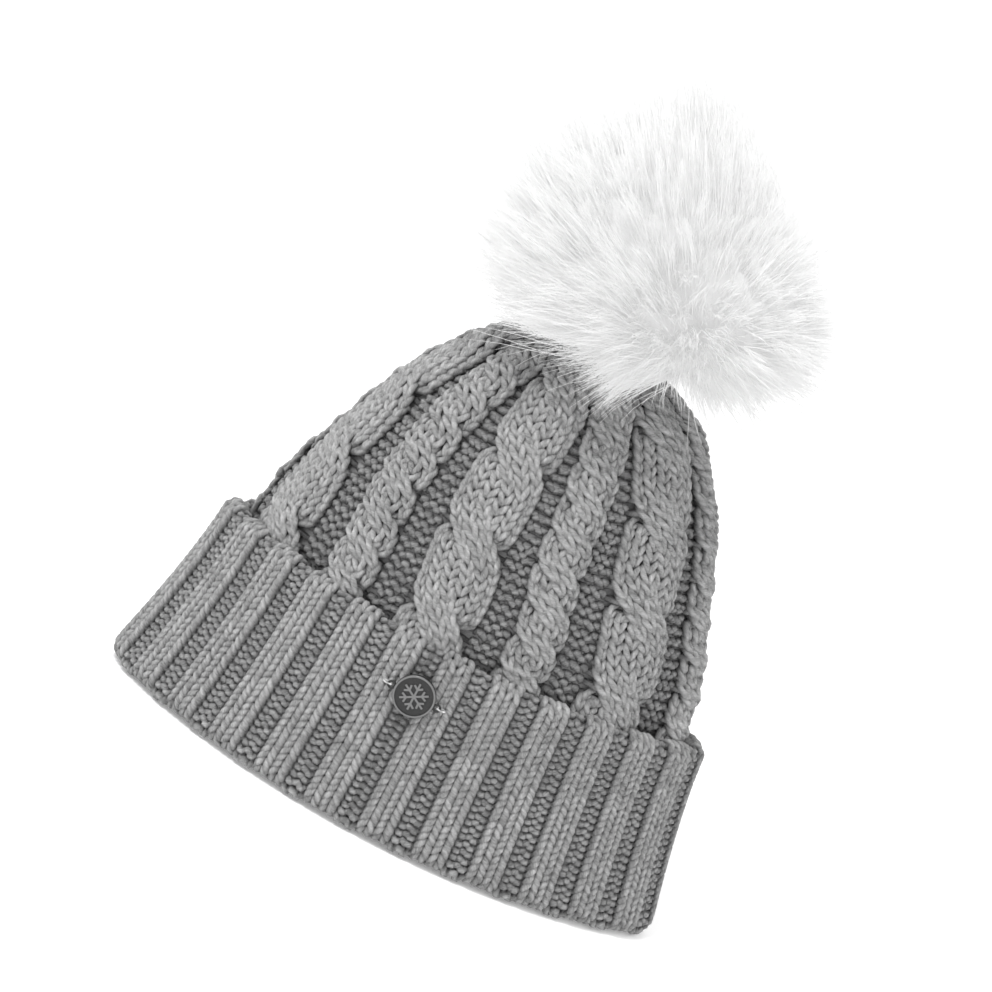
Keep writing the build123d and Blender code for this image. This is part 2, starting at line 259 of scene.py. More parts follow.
def courses(surface, centres, widths, rows, row_pitch, lifts, fronts, direction, name, samples=16, sides=6,
            knit=(0.235, 1.04), swing=1.15, radius=YARN_R, fuller=0.0):
    """Rounds of knitting as yarn.

    centres(column, row) and widths(column, row) give a column's place in mm and its width, lifts its
    height over the sheet, fronts +1 for knit and -1 for purl. direction is +1 where the loops point up.
    knit, like PURL, is (how far a loop's neck narrows, its height in courses), swing is how far a loop goes
    in front of and behind the sheet, and fuller is how much thicker the yarn of a purl stitch looks.
    Each stitch leans with its column, so that the strands of a cable carry their stitches along."""
    t = (np.arange(samples) + 0.5) / samples * 2 * np.pi - np.pi    # 0 at the loop's head
    row = np.asarray(rows, float)[:, None, None]
    order, face = fronts(np.asarray(rows, float))
    column = order[:, :, None]
    edge = np.clip((np.pi - np.abs(t)) / (TURN_SHARE * np.pi), 0, 1)
    own = 0.5 + 0.5 * smooth_step(edge)[None, None, :]
    left, right = np.roll(face, 1, 1), np.roll(face, -1, 1)
    beside = np.where(t[None, None, :] < 0, left[..., None], right[..., None])
    sign = face[..., None] * own + beside * (1 - own)
    neck, tall = (0.5 * (k + p) + 0.5 * (k - p) * sign for k, p in zip(knit, PURL))
    rise = direction * tall * np.cos(t)
    wobble = rng.normal(0, UNEVENNESS, (len(rows), order.shape[1], 4))
    at_row = row + rise * (1 + UNEVEN_RISE * wobble[..., 0:1]) + UNEVEN_ALONG * wobble[..., 1:2]

    def share_at(r):
        return centres(column, r) / surface.perimeter(r * row_pitch)

    round_here = surface.perimeter(at_row * row_pitch)
    slope = share_at(at_row + LEAN_STEP) - share_at(at_row - LEAN_STEP)
    slope = slope * round_here / (2 * LEAN_STEP * row_pitch)
    slope = np.clip(slope, -MOST_LEAN, MOST_LEAN)
    cosine = 1 / np.sqrt(1 + slope**2)
    sine = slope * cosine
    width = widths(column, at_row)
    across = width * cosine * (t / (2 * np.pi) + neck * np.sin(2 * t))
    seam = np.sign(t) * smooth_step((np.abs(t) / np.pi - SEAM_FROM) / (1 - SEAM_FROM)) * width / 2
    aside = across * cosine + seam * sine**2 + UNEVEN_ASIDE * wobble[..., 2:3]
    along = at_row * row_pitch - across * sine + seam * sine * cosine
    swing_part = -sign * swing * np.cos(2 * t)
    plump = THIN + THICKER * (0.5 - 0.5 * sign * np.cos(2 * t)) + UNEVEN_PLUMP * wobble[..., 0:1]
    plump = plump * radius
    plump *= 1 + fuller * (1 - sign) / 2
    lift = lifts(column, at_row)
    depth = swing_part + lift + UNEVEN_DEPTH * wobble[..., 3:4]
    points, normal = surface(share_at(at_row) + aside / round_here, along, depth)
    count = len(rows)
    points = points.reshape(count, -1, 3)
    normal = normal.reshape(count, -1, 3)
    plump = plump.reshape(count, -1)
    verts, quads, tris, angle = tubes(points, normal, plump, sides, True)
    obj = new_mesh(name, verts, quads, tris)
    step = np.linalg.norm(np.roll(points, -1, 1) - points, axis=2)
    length = np.cumsum(step, 1) - step
    length = np.repeat(length.reshape(-1), sides)
    shade = np.repeat((wobble[..., 0:1] + 0 * t).reshape(-1), sides)
    # how deep each point lies, for the yarn's painted shade: sunk ground stitches and the yarn's undersides
    # are coloured darker
    sunk = swing_part + np.where(lift < 0, 0.6, 0.2) * lift
    sunk = np.repeat(sunk.reshape(-1), sides) + np.repeat(plump.reshape(-1), sides) * np.sin(angle)
    set_attribute(obj, "ply", np.stack([np.cos(angle), np.sin(angle), length], -1))
    set_attribute(obj, "shade", shade)
    set_attribute(obj, "sunk", sunk)
    return obj


# Ribbing: knit 2, purl 2. Column 0 is the first purl column right of the badge gully's middle.
RIB_PITCH = 3.02
KNIT_SHARE, PURL_SHARE = 0.29, 0.21
GULLY_OFFSET = -6.6
BADGE_X, BADGE_Z = -5.5, 58.0
BADGE_DIMPLE, DIMPLE_REACH = 0.9, 11.0
RIB_LIFTS, HEM_LIFTS = (0.7, -0.9), (-0.35, 0.75)   # of knit and purl columns
rib_kind = np.tile([-1, 1, 1, -1], STITCHES // 4)
rib_part = np.where(rib_kind > 0, KNIT_SHARE, PURL_SHARE)
rib_middle = np.cumsum(rib_part) - rib_part / 2
REPEATS = STITCHES // 4


def rib_centres(column, row):
    around = rib_surface.perimeter(row * RIB_PITCH)
    return GULLY_OFFSET + rib_middle[column] * around / REPEATS


def rib_widths(column, row):
    return rib_part[column] * rib_surface.perimeter(row * RIB_PITCH) / REPEATS


HEM_REACH = 4.0             # how far from the hem its own lifts reach
hem_along = np.interp(len(inner_z) + len(turn) / 2, np.arange(len(rib_surface.along)), rib_surface.along)


def badge_dimple(column, row):
    """How far the sewn badge presses the cuff in."""
    along = row * RIB_PITCH
    around = rib_surface.perimeter(along)
    aside = np.mod(rib_centres(column, row) - BADGE_X + around / 2, around) - around / 2
    height = np.interp(along, rib_surface.along, rib_surface.grid[:, 0, 2]) - BADGE_Z
    dimple = BADGE_DIMPLE * np.exp(-(aside**2 + height**2) / DIMPLE_REACH**2)
    return np.where(along > hem_along, dimple, 0)


def rib_lifts(column, row):
    """Knit columns stand up and purl columns sink, but at the hem the purl columns hang lower."""
    near_hem = np.exp(-((row * RIB_PITCH - hem_along) / HEM_REACH) ** 2)
    usual = np.where(rib_kind[column] > 0, *RIB_LIFTS) - badge_dimple(column, row)
    at_hem = np.where(rib_kind[column] > 0, *HEM_LIFTS)
    return usual * (1 - near_hem) + at_hem * near_hem


def rib_fronts(rows):
    order = np.tile(np.arange(STITCHES), (len(rows), 1))
    return order, np.tile(rib_kind, (len(rows), 1))


rib_rows = np.arange(1, int(rib_surface.length / RIB_PITCH) + 1)
hem_row = hem_along / RIB_PITCH
inner_rows = rib_rows[rib_rows < hem_row - 2]
outer_rows = rib_rows[rib_rows >= hem_row - 2]


# ---- cable pattern ----------------------------------------------------------
BODY_PITCH = 4.25
CABLE_REPEATS = 6
# one repeat: wide cable of six, three purl, narrow cable of four, three purl
WIDE, NARROW, GROUND = 6, 4, 3
WIDE_W, NARROW_W, GROUND_W = 4.6, 4.45, 5.1
CABLE_TURN = 1.25           # angle from a cable's middle to its edge, which is round
REPEAT = WIDE + NARROW + 2 * GROUND
repeat_kind = np.array([0] * WIDE + [1] * GROUND + [2] * NARROW + [1] * GROUND)
FULL_REPEAT = WIDE * WIDE_W + NARROW * NARROW_W + 2 * GROUND * GROUND_W
WIDE_FIRST, WIDE_EVERY = 89.0, 34.0    # height of the first crossing, then every so many mm
NARROW_FIRST, NARROW_EVERY = 83.0, 14.2
WIDE_EASE, NARROW_EASE = (3.5, 1.3), (1.6, 0.8)    # courses either side for the front and back strands
# how far a cable arches, its front strand rises and its back strand sinks, and half the width of a strand
# that crosses
WIDE_SHAPE, NARROW_SHAPE = (3.4, 1.6, -2.6, 8.2), (2.8, 1.4, -2.2, 6.2)
STRAND_ROLL = 1.3           # the front strand's edges roll in
GROUND_LIFT = -1.7
BODY_PHASE = -0.0254        # where the repeats start, as a share of the round
# further up they drift aside: (share of the round, from this height, over this much, at most so often)
DRIFTS = ((-0.026, 102, 72, 1.2), (0.0103, 125, 31, 1.6))


def body_height(row):
    """Height in mm above the table of a course."""
    return np.interp(row * BODY_PITCH, body_surface.along, body_z)


def row_of_height(z):
    return np.interp(z, body_z, body_surface.along) / BODY_PITCH


wide_first = row_of_height(WIDE_FIRST)
wide_every = WIDE_EVERY / BODY_PITCH
narrow_first = row_of_height(NARROW_FIRST)
narrow_every = NARROW_EVERY / BODY_PITCH


def repeat_scale(row):
    """How much the cables and the ground are squeezed at a course."""
    room = body_surface.perimeter(row * BODY_PITCH) / CABLE_REPEATS
    tight = room / FULL_REPEAT
    cables = WIDE * WIDE_W + NARROW * NARROW_W
    cable = np.minimum(tight**0.37, 0.93 * room / cables)
    ground = (room - cables * cable) / (2 * GROUND * GROUND_W)
    return room, cable, ground


def crossing(row, first, every, ease):
    """Which side the strand of even crossings is on, how far through the crossing from 0 to 1 to 0, and
    whether the crossing is an even one."""
    k = np.round((row - first) / every)
    u = (row - (first + k * every)) / (2 * ease) + 0.5
    u = np.clip(u, 0, 1)
    step = 0.3 * u + 0.7 * (0.5 - 0.5 * np.cos(np.pi * u))
    even = np.mod(k, 2) == 0
    return np.where(even, 1 - 2 * step, 2 * step - 1), np.sin(np.pi * u) ** 2, even


def bowed(q, turn=CABLE_TURN):
    """Place across a round cable, -1 to 1, of a share of its knitted width."""
    return np.sin(turn * q) / math.sin(turn)


def cable(inside, count, width, row, first, every, ease, shape):
    """Sideways place, lift and column width of one cable, whose strands swap sides at each crossing."""
    crown, over, under, strand_half = shape
    half = count / 2
    strand = (inside >= half).astype(int)
    spot = np.where(strand == 0, inside, inside - half) - (half - 1) / 2
    slow, slow_bump, even = crossing(row, first, every, ease[0])
    quick, quick_bump, _ = crossing(row, first, every, ease[1])
    in_front = strand == np.where(even, 0, 1)
    side = np.where(in_front, slow, quick)
    side = np.where(strand == 0, side, -side)
    bump = np.where(in_front, slow_bump, quick_bump)
    reach = half * width

    def place(k):
        usual = reach * bowed(np.clip(side * 0.5 + k / half, -1.05, 1.05))
        crossed = reach * bowed(side * 0.5) + strand_half * bowed(2 * k / half, 0.9)
        return usual * (1 - bump) + crossed * bump

    x = place(spot)
    columns = place(spot + 0.5) - place(spot - 0.5)
    arch = crown * (1 - np.abs(x / reach) ** 2.2)
    roll = -STRAND_ROLL * (spot / half * 2) ** 2
    n = arch + bump * np.where(in_front, over + roll, under)
    return x, n, columns


def body_columns(column, row):
    inside = column % REPEAT
    kind = repeat_kind[inside]
    room, cable_scale, ground = repeat_scale(row)
    wide_w, narrow_w, ground_w = WIDE_W * cable_scale, NARROW_W * cable_scale, GROUND_W * ground
    wide_x, wide_n, wide_c = cable(inside, WIDE, wide_w, row, wide_first, wide_every, WIDE_EASE, WIDE_SHAPE)
    narrow_x, narrow_n, narrow_k = cable(inside - WIDE - GROUND, NARROW, narrow_w, row, narrow_first,
                                         narrow_every, NARROW_EASE, NARROW_SHAPE)
    narrow_c = WIDE / 2 * wide_w + GROUND * ground_w + NARROW / 2 * narrow_w
    first_ground = WIDE / 2 * wide_w + (inside - WIDE + 0.5) * ground_w
    later = inside - WIDE - GROUND - NARROW
    last_ground = WIDE / 2 * wide_w + GROUND * ground_w + NARROW * narrow_w + (later + 0.5) * ground_w
    ground_x = np.where(inside < WIDE + GROUND, first_ground, last_ground)
    x = np.where(kind == 0, wide_x, np.where(kind == 2, narrow_c + narrow_x, ground_x))
    n = np.where(kind == 0, wide_n, np.where(kind == 2, narrow_n, GROUND_LIFT))
    w = np.where(kind == 0, wide_c, np.where(kind == 2, narrow_k, ground_w))
    return x + (column // REPEAT) * room, n, w


def body_spread(x, row):
    """Place and scale with the cables spread out, near the crown, over the front and the back."""
    z = body_height(row)
    around = body_surface.perimeter(row * BODY_PITCH)
    drift = sum(most * np.clip((z - low) / over, 0, times) for most, low, over, times in DRIFTS)
    amount = np.clip(0.018 + 0.018 * (z - 98) / 58, 0.008, 0.038)
    u = x / around + (BODY_PHASE + drift)
    bend = 4 * np.pi * u
    moved = u + amount * np.sin(bend) * (1 - np.cos(bend)) / 2
    scale = 1 + amount * 2 * np.pi * (np.cos(bend) * (1 - np.cos(bend)) + np.sin(bend) ** 2)
    return moved * around, scale


def body_centres(column, row):
    return body_spread(body_columns(column, row)[0], row)[0]


def body_lifts(column, row):
    return body_columns(column, row)[1]


def body_widths(column, row):
    x, _, width = body_columns(column, row)
    return width * body_spread(x, row)[1]


def body_fronts(rows):
    """Needle order of the columns in each course: strands swap at the crossings."""
    order = np.tile(np.arange(STITCHES), (len(rows), 1))
    cables = ((0, WIDE, wide_first, wide_every), (WIDE + GROUND, NARROW, narrow_first, narrow_every))
    for i, r in enumerate(rows):
        for offset, count, first, every in cables:
            if crossing(np.array(r), first, every, 1.0)[0] <= 0:
                continue
            for a in range(offset, STITCHES, REPEAT):
                order[i, a:a + count] = np.roll(order[i, a:a + count], count // 2)
    kind = repeat_kind[order % REPEAT]
    return order, np.where(kind == 1, -1, 1)


# ---- materials --------------------------------------------------------------
def grey(tone):
    return (tone, tone, tone, 1)


class Nodes:
    """Short forms for building a node tree."""

    def __init__(self, tree):
        self.tree = tree

    def add(self, kind, inputs=None, **values):
        """A node with these values set on its input sockets and its properties."""
        node = self.tree.nodes.new(kind)
        for key, value in values.items():
            setattr(node, key, value)
        for socket, value in (inputs or {}).items():
            node.inputs[socket].default_value = value
        return node

    def link(self, a, b):
        self.tree.links.new(a, b)

    def math(self, operation, a, b=None, c=None):
        node = self.add("ShaderNodeMath", operation=operation)
        for i, value in enumerate((a, b, c)):
            if value is None:
                continue
            if isinstance(value, (int, float)):
                node.inputs[i].default_value = value
            else:
                self.link(value, node.inputs[i])
        return node.outputs[0]

    def total(self, *terms, start=0.0):
        """start and the sum of (value, weight) terms."""
        for value, weight in terms:
            start = self.math("MULTIPLY_ADD", value, weight, start)
        return start

    def attribute(self, name):
        return self.add("ShaderNodeAttribute", attribute_name=name).outputs["Fac"]

    def place(self):
        return self.add("ShaderNodeTexCoord").outputs["Object"]

    def parts(self, vector):
        node = self.add("ShaderNodeSeparateXYZ")
        self.link(vector, node.inputs[0])
        return node.outputs

    def noise(self, vector, scale, detail=3.0):
        node = self.add("ShaderNodeTexNoise", {"Scale": scale, "Detail": detail})
        self.link(vector, node.inputs["Vector"])
        return node.outputs["Fac"]

    def bands(self, vector, direction, pitch_mm, distortion, detail=2.0):
        """Waves with this pitch."""
        node = self.add("ShaderNodeTexWave", {"Scale": 1000.0 / pitch_mm / 20, "Distortion": distortion,
                                              "Detail": detail}, bands_direction=direction)
        self.link(vector, node.inputs["Vector"])
        return node.outputs["Fac"]

    def ramp(self, value, *stops):
        """Colour ramp from (position, grey) stops."""
        ramp = self.add("ShaderNodeValToRGB")
        for element, (position, tone) in zip(ramp.color_ramp.elements, (stops[0], stops[-1])):
            element.position = position
            element.color = grey(tone)
        for position, tone in stops[1:-1]:
            ramp.color_ramp.elements.new(position).color = grey(tone)
        self.link(value, ramp.inputs[0])
        return ramp.outputs[0]

    def bump(self, shader, height, distance, strength=1.0):
        node = self.add("ShaderNodeBump", {"Strength": strength, "Distance": distance})
        self.link(height, node.inputs["Height"])
        self.link(node.outputs[0], shader.inputs["Normal"])


def material(name, tone, roughness, **inputs):
    """A grey material, its nodes and its shader, on which these inputs are set."""
    m = bpy.data.materials.new(name)
    m.use_nodes = True
    shader = m.node_tree.nodes["Principled BSDF"]
    shader.inputs["Base Color"].default_value = grey(tone)
    shader.inputs["Roughness"].default_value = roughness
    for socket, value in inputs.items():
        shader.inputs[socket.replace("_", " ")].default_value = value
    return m, Nodes(m.node_tree), shader


TWIST_MM = 5.2              # length of yarn over which its plies turn once


def yarn_material(name, dark, light):
    """Soft plied yarn: twisted plies and fine fibres as bump, heathered grey, with painted shade in the gaps
    between strands.
    """
    m, n, shader = material(name, light, 0.92, Sheen_Weight=0.25, Sheen_Roughness=0.5,
                            Specular_IOR_Level=0.15)
    ply = n.add("ShaderNodeAttribute", attribute_name="ply")
    cosine, sine, length = n.parts(ply.outputs["Vector"])
    twist = n.math("MULTIPLY", length, 2 * math.pi / TWIST_MM)
    cos_twist, sin_twist = n.math("COSINE", twist), n.math("SINE", twist)
    # three plies: cos(3a + twist) from cos a and sin a
    cos_2 = n.math("SUBTRACT", n.math("MULTIPLY", cosine, cosine), n.math("MULTIPLY", sine, sine))
    sin_2 = n.math("MULTIPLY", n.math("MULTIPLY", cosine, sine), 2.0)
    ply_wave = n.total((cos_2, cos_twist), (sin_2, sin_twist))
    # fine fibres that follow the twist
    swirl = n.add("ShaderNodeCombineXYZ")
    turn_x = n.total((cosine, cos_twist), (sine, sin_twist))
    turn_y = n.math("SUBTRACT", n.math("MULTIPLY", sine, cos_twist), n.math("MULTIPLY", cosine, sin_twist))
    for value, scale, socket in zip((turn_x, turn_y, length), (5.0, 5.0, 0.60), swirl.inputs):
        n.link(n.math("MULTIPLY", value, scale), socket)
    fibre = n.noise(swirl.outputs[0], 1.0)
    cloud = n.noise(n.place(), 420.0, 2.0)
    n.bump(shader, n.total((ply_wave, 0.35), (fibre, 1.1), (cloud, 0.35)), 0.0009)
    # colour: heathered fibres along the twist, partly painted highlight and shade on them, random tone by
    # stitch and in clouds, and painted shade in the grooves between the plies
    tone = n.total((fibre, 0.85), (n.attribute("shade"), 0.3), (ply_wave, 0.10), (cloud, 0.3))
    # painted shade: the bottoms of the gaps between strands and the yarn's undersides are coloured darker
    gap_shade_amount = n.add("ShaderNodeMapRange", {"From Min": 0.1, "From Max": 2.7, "To Min": 0.05, "To Max": 1.0})
    n.link(n.attribute("sunk"), gap_shade_amount.inputs["Value"])
    painted_gap_shade = n.add("ShaderNodeMix", {"Factor": 1.0}, data_type="RGBA", blend_type="MULTIPLY")
    n.link(n.ramp(tone, (0.30, dark), (0.95, light)), painted_gap_shade.inputs["A"])
    n.link(gap_shade_amount.outputs[0], painted_gap_shade.inputs["B"])
    n.link(painted_gap_shade.outputs["Result"], shader.inputs["Base Color"])
    return m


yarn = yarn_material("heather_yarn", 0.17, 0.74)


# ---- knitted pieces ---------------------------------------------------------
def split(rows, parts):
    return [r for r in np.array_split(rows, parts) if len(r)]


BODY_TOP = 198.5            # height of the last course, inside the crown's gathers
rib_pieces, body_pieces = [], []
for i, rows in enumerate(split(outer_rows, 3)):
    o = courses(rib_surface, rib_centres, rib_widths, rows, RIB_PITCH, rib_lifts, rib_fronts, -1,
                f"cuff_courses_{i + 1}")
    rib_pieces.append(o)
band_piece = courses(rib_surface, rib_centres, rib_widths, inner_rows, RIB_PITCH, rib_lifts, rib_fronts, -1,
                     "band_courses", samples=9, sides=5)
BODY_TOP_ROW = int(row_of_height(BODY_TOP))
for i, rows in enumerate(split(np.arange(1, BODY_TOP_ROW), 5)):
    o = courses(body_surface, body_centres, body_widths, rows, BODY_PITCH, body_lifts, body_fronts, 1,
                f"cable_courses_{i + 1}", knit=(0.28, 0.96), swing=1.3, radius=1.28, fuller=0.18)
    body_pieces.append(o)
for o in rib_pieces + [band_piece] + body_pieces:
    o.data.materials.append(yarn)
    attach(o, "hat")
for o in rib_pieces:
    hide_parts("turned_cuff")
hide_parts("rib_band")
for o in body_pieces:
    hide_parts("knit_body")


# ---- painted shade: a thin dark sheet behind the stitches -------------------
BACKING_HALF = 0.25


def backing(surface, low, high, lift, name, rows=60, columns=240):
    """A closed thin sheet that follows a surface, lift mm from its middle, coloured dark as painted shade
    seen through the gaps between stitches.
    """
    along = np.linspace(low, high, rows)[:, None] + np.zeros(columns)
    share = np.zeros((rows, 1)) + np.arange(columns) / columns
    outside, _ = surface(share, along, np.full(share.shape, lift + BACKING_HALF))
    inside, _ = surface(share, along, np.full(share.shape, lift - BACKING_HALF))
    verts = np.concatenate([outside.reshape(-1, 3), inside.reshape(-1, 3)])
    index = np.arange(2 * rows * columns).reshape(2, rows, columns)
    quads = []
    for layer, flip in ((index[0], False), (index[1], True)):
        a, b = layer[:-1], layer[1:]
        q = np.stack([a, np.roll(a, -1, 1), np.roll(b, -1, 1), b], -1).reshape(-1, 4)
        quads.append(q[:, ::-1] if flip else q)
    for row, flip in ((0, True), (-1, False)):
        a, b = index[0, row], index[1, row]
        q = np.stack([a, np.roll(a, -1), np.roll(b, -1), b], -1)
        quads.append(q[:, ::-1] if flip else q)
    return new_mesh(name, verts, np.concatenate(quads))


# painted shade: a near-black, cloudy colour that stands for the shade in the gaps between stitches
shade_sheet_material, n, shader = material("yarn_shadow", 0.11, 0.95)
cloud = n.add("ShaderNodeTexNoise", {"Scale": 600.0})
n.link(n.ramp(cloud.outputs["Fac"], (0.0, 0.08), (1.0, 0.26)), shader.inputs["Base Color"])
rib_back = backing(rib_surface, 1.0, rib_surface.length - 1.5, -0.3, "rib_shade_sheet")
body_back = backing(body_surface, 1.0, BODY_TOP_ROW * BODY_PITCH, -1.2, "cable_shade_sheet")
for o, slot in ((rib_back, "rib_lining"), (body_back, "cable_knit")):
    o.data.materials.append(shade_sheet_material)
    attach(o, "hat")


# ---- pom --------------------------------------------------------------------
POM_MIDDLE = np.array((5.0, 0.0, 249.0))
POM_DEPTH = 69.0
SQUARENESS = 2.3            # of the pom's outline from front to back, 2 for an ellipsoid
# its outline from the front: (angle from +X towards +Z in degrees, reach in mm)
POM_OUTLINE = np.array((
    (-180, 73), (-160, 78), (-143, 80), (-125, 70), (-90, 54), (-60, 58), (-42, 65), (-25, 70), (-10, 73),
    (5, 65), (25, 51), (50, 43), (70, 44), (88, 50), (104, 66), (116, 71), (135, 59), (150, 62), (165, 71),
    (180, 73)), float)
POM_MOST_Y, POM_MOST_Z = 77, 325    # no hair reaches past these
ROOT_MIDDLE = np.array((4.5, -1.0, 245.0))
ROOT_R = 35.0
PARTING = unit(np.array((0.60, -0.42, -0.68)))    # the fur lies away from this side
PARTING_PULL = 0.58
UNDERFUR = 0.82             # reach of the dense wool under the long hairs, as a share of the pom's
HAIRS, LOCKS = 34000, 900
HAIR_R, HAIR_TIP_R = 0.17, 0.03
HAIR_SAMPLES = 6
LONG_HAIRS = 0.09           # share of the hairs that stand out of the fur
LONGER = (1.05, 1.26)       # how many times longer those are
LOCK_LENGTHS, LENGTH_SPREAD = (0.86, 1.06), 0.055
LOCK_PULL = 0.55            # the most that a hair's tip leans to its lock's
LOCK_SWAY, HAIR_SWAY = 0.22, 0.07
HAIR_RISE, TUFT_RISE = 0.42, 0.35   # share of a hair's reach in which it leaves its root
TRIALS = 25                 # samples that find where a hair leaves the dense wool
NECK_LIFT, NECK_R, NECK_EASE = 5, 10, 25    # hairs lie higher on the crown near the pom's neck
KNIT_CLEAR = 2.6            # hairs lie this far above the crown
PAINTED_FUR_GLOW = 0.23             # painted glow: emission that stands in for light passed on from hair to hair, which a hair's own colour doesn't carry


def pom_reach(d):
    """Distance from the pom's middle to its outline in the directions d."""
    angle = np.degrees(np.arctan2(d[..., 2], d[..., 0]))
    flat = np.hypot(d[..., 0], d[..., 2]) / np.interp(angle, POM_OUTLINE[:, 0], POM_OUTLINE[:, 1])
    deep = np.abs(d[..., 1]) / POM_DEPTH
    return (flat**SQUARENESS + deep**SQUARENESS) ** (-1 / SQUARENESS)


def scattered(count, spread):
    """Directions spread evenly over a ball, each moved a little."""
    i = np.arange(count) + 0.5
    z = 1 - 2 * i / count
    turn = math.pi * (1 + 5**0.5) * i
    r = np.sqrt(1 - z * z)
    d = np.stack([r * np.cos(turn), r * np.sin(turn), z], -1)
    return unit(d + rng.normal(0, spread, d.shape))


def towards(a, b, share):
    """Directions turned from a towards b by a share of the angle between them."""
    dot = np.clip((a * b).sum(-1, keepdims=True), -0.9995, 0.9995)
    angle = np.arccos(dot)
    return (np.sin((1 - share) * angle) * a + np.sin(share * angle) * b) / np.sin(angle)


def knit_top(x, y):
    """Height of the crown's outside over a point, or far below where the hat isn't."""
    top = np.full(x.shape, -999.0)
    for z in np.linspace(120, 200.5, 60):
        w, d = body_size(np.array(z), -1.0)
        c = np.sqrt(np.clip(1 - (x / w) ** 2, 0, 1))
        inside = (np.abs(x) < w) & (np.abs(y) < d * c * (TIP_ROUNDNESS + (1 - TIP_ROUNDNESS) * c))
        top[inside] = z
    return top


def hair_paths(tips, root_dirs, rise, sway):
    """Curved hairs from the root ball to their tips."""
    roots = ROOT_MIDDLE + root_dirs * ROOT_R * rng.uniform(0.88, 1.0, (len(tips), 1))
    reach = np.linalg.norm(tips - roots, axis=1, keepdims=True)
    out = unit(0.8 * root_dirs + 0.5 * unit(tips - roots))
    p1 = roots + out * reach * rise
    end = unit(0.75 * unit(tips - roots) + 0.55 * unit(tips - POM_MIDDLE) + sway)
    p2 = tips - end * reach * 0.33
    corners = (roots, p1, p2, tips)

    def bezier(s):
        weights = ((1 - s) ** 3, 3 * s * (1 - s) ** 2, 3 * s * s * (1 - s), s**3)
        return sum(k[..., None] * p[:, None] for k, p in zip(weights, corners))

    # only the part outside the dense wool is made, and it rests on the crown
    trial = np.broadcast_to(np.linspace(0, 1, TRIALS), (len(tips), TRIALS))
    out = bezier(trial) - POM_MIDDLE
    far = np.linalg.norm(out, axis=-1)
    covered = np.where(far < 0.96 * UNDERFUR * pom_reach(unit(out)), trial, 0).max(1)
    start = np.clip(covered, 0, 0.85)[:, None]
    path = bezier(start + (1 - start) * np.linspace(0, 1, HAIR_SAMPLES))
    floor_z = knit_top(path[..., 0], path[..., 1]) + KNIT_CLEAR
    radius = np.hypot(path[..., 0], path[..., 1])
    neck = np.clip(1 - (radius - NECK_R) / NECK_EASE, 0, 1) * NECK_LIFT
    path[..., 2] = np.maximum(path[..., 2], floor_z + neck)
    return path


def hair_mesh(paths, name, thick, tone):
    """Three-sided tapered hairs."""
    s = np.linspace(0, 1, HAIR_SAMPLES)
    taper = HAIR_TIP_R + (thick[:, None] - HAIR_TIP_R) * (1 - s**2.5)[None]
    verts, quads, tris, _ = tubes(paths, rng.normal(0, 1, (len(paths), 1, 3)), taper, 3, False)
    obj = new_mesh(name, verts, quads, tris)
    # the middles of the ends come after all the rings: first the roots, then the tips
    roots, far_ends = np.zeros(len(paths)), np.ones(len(paths))
    set_attribute(obj, "hair_along", np.concatenate([np.repeat(np.tile(s, len(paths)), 3), roots, far_ends]))
    set_attribute(obj, "hair_tone", np.concatenate([np.repeat(tone, HAIR_SAMPLES * 3), tone, tone]))
    return obj


FUR_TONES = ((0.0, 0.63), (1.0, 0.71))
# the hairs glow a little: painted light
fur, n, shader = material("white_fur", 0.93, 0.75, Specular_IOR_Level=0.3, Emission_Color=grey(1),
                          Emission_Strength=PAINTED_FUR_GLOW)
shade = n.total((n.attribute("hair_along"), 0.8), (n.attribute("hair_tone"), 0.5))
n.link(n.ramp(shade, *FUR_TONES), shader.inputs["Base Color"])

lock_dirs = scattered(LOCKS, 0.08)
lock_length = rng.uniform(*LOCK_LENGTHS, LOCKS)
lock_tone = rng.uniform(-1, 1, LOCKS)
hair_dirs = scattered(HAIRS, 0.03)
lock = np.argmax(hair_dirs @ lock_dirs.T, 1)
pull = rng.beta(2.0, 2.4, (HAIRS, 1)) * LOCK_PULL
tip_dirs = unit(hair_dirs * (1 - pull) + lock_dirs[lock] * pull)
length = lock_length[lock] * rng.normal(1.0, LENGTH_SPREAD, HAIRS)
long_hair = rng.random(HAIRS) < LONG_HAIRS
length = np.where(long_hair, length * rng.uniform(*LONGER, HAIRS), length)
below = np.clip((-tip_dirs[:, 2] - 0.75) / 0.2, 0, 1)
length *= pom_reach(tip_dirs) * (1 - 0.15 * below)
tips = POM_MIDDLE + tip_dirs * length[:, None]
tips[:, 2] += np.where(tip_dirs[:, 2] < 0, -4.0 * tip_dirs[:, 2], 0)
tips[:, 1] = np.clip(tips[:, 1], -POM_MOST_Y, POM_MOST_Y)
tips[:, 2] = np.minimum(tips[:, 2], POM_MOST_Z)
pulled = PARTING_PULL * rng.uniform(0.45, 1.2, (HAIRS, 1))
root_dirs = towards(tip_dirs, np.broadcast_to(PARTING, tip_dirs.shape), pulled)
root_dirs = unit(root_dirs + rng.normal(0, 0.06, root_dirs.shape))
lock_sway = rng.normal(0, LOCK_SWAY, (LOCKS, 3))
sway = lock_sway[lock] + rng.normal(0, HAIR_SWAY, (HAIRS, 3))
paths = hair_paths(tips, root_dirs, HAIR_RISE, sway)
thick = HAIR_R * rng.uniform(0.75, 1.15, HAIRS)
tone = 0.5 + 0.4 * lock_tone[lock] + rng.normal(0, 0.15, HAIRS)

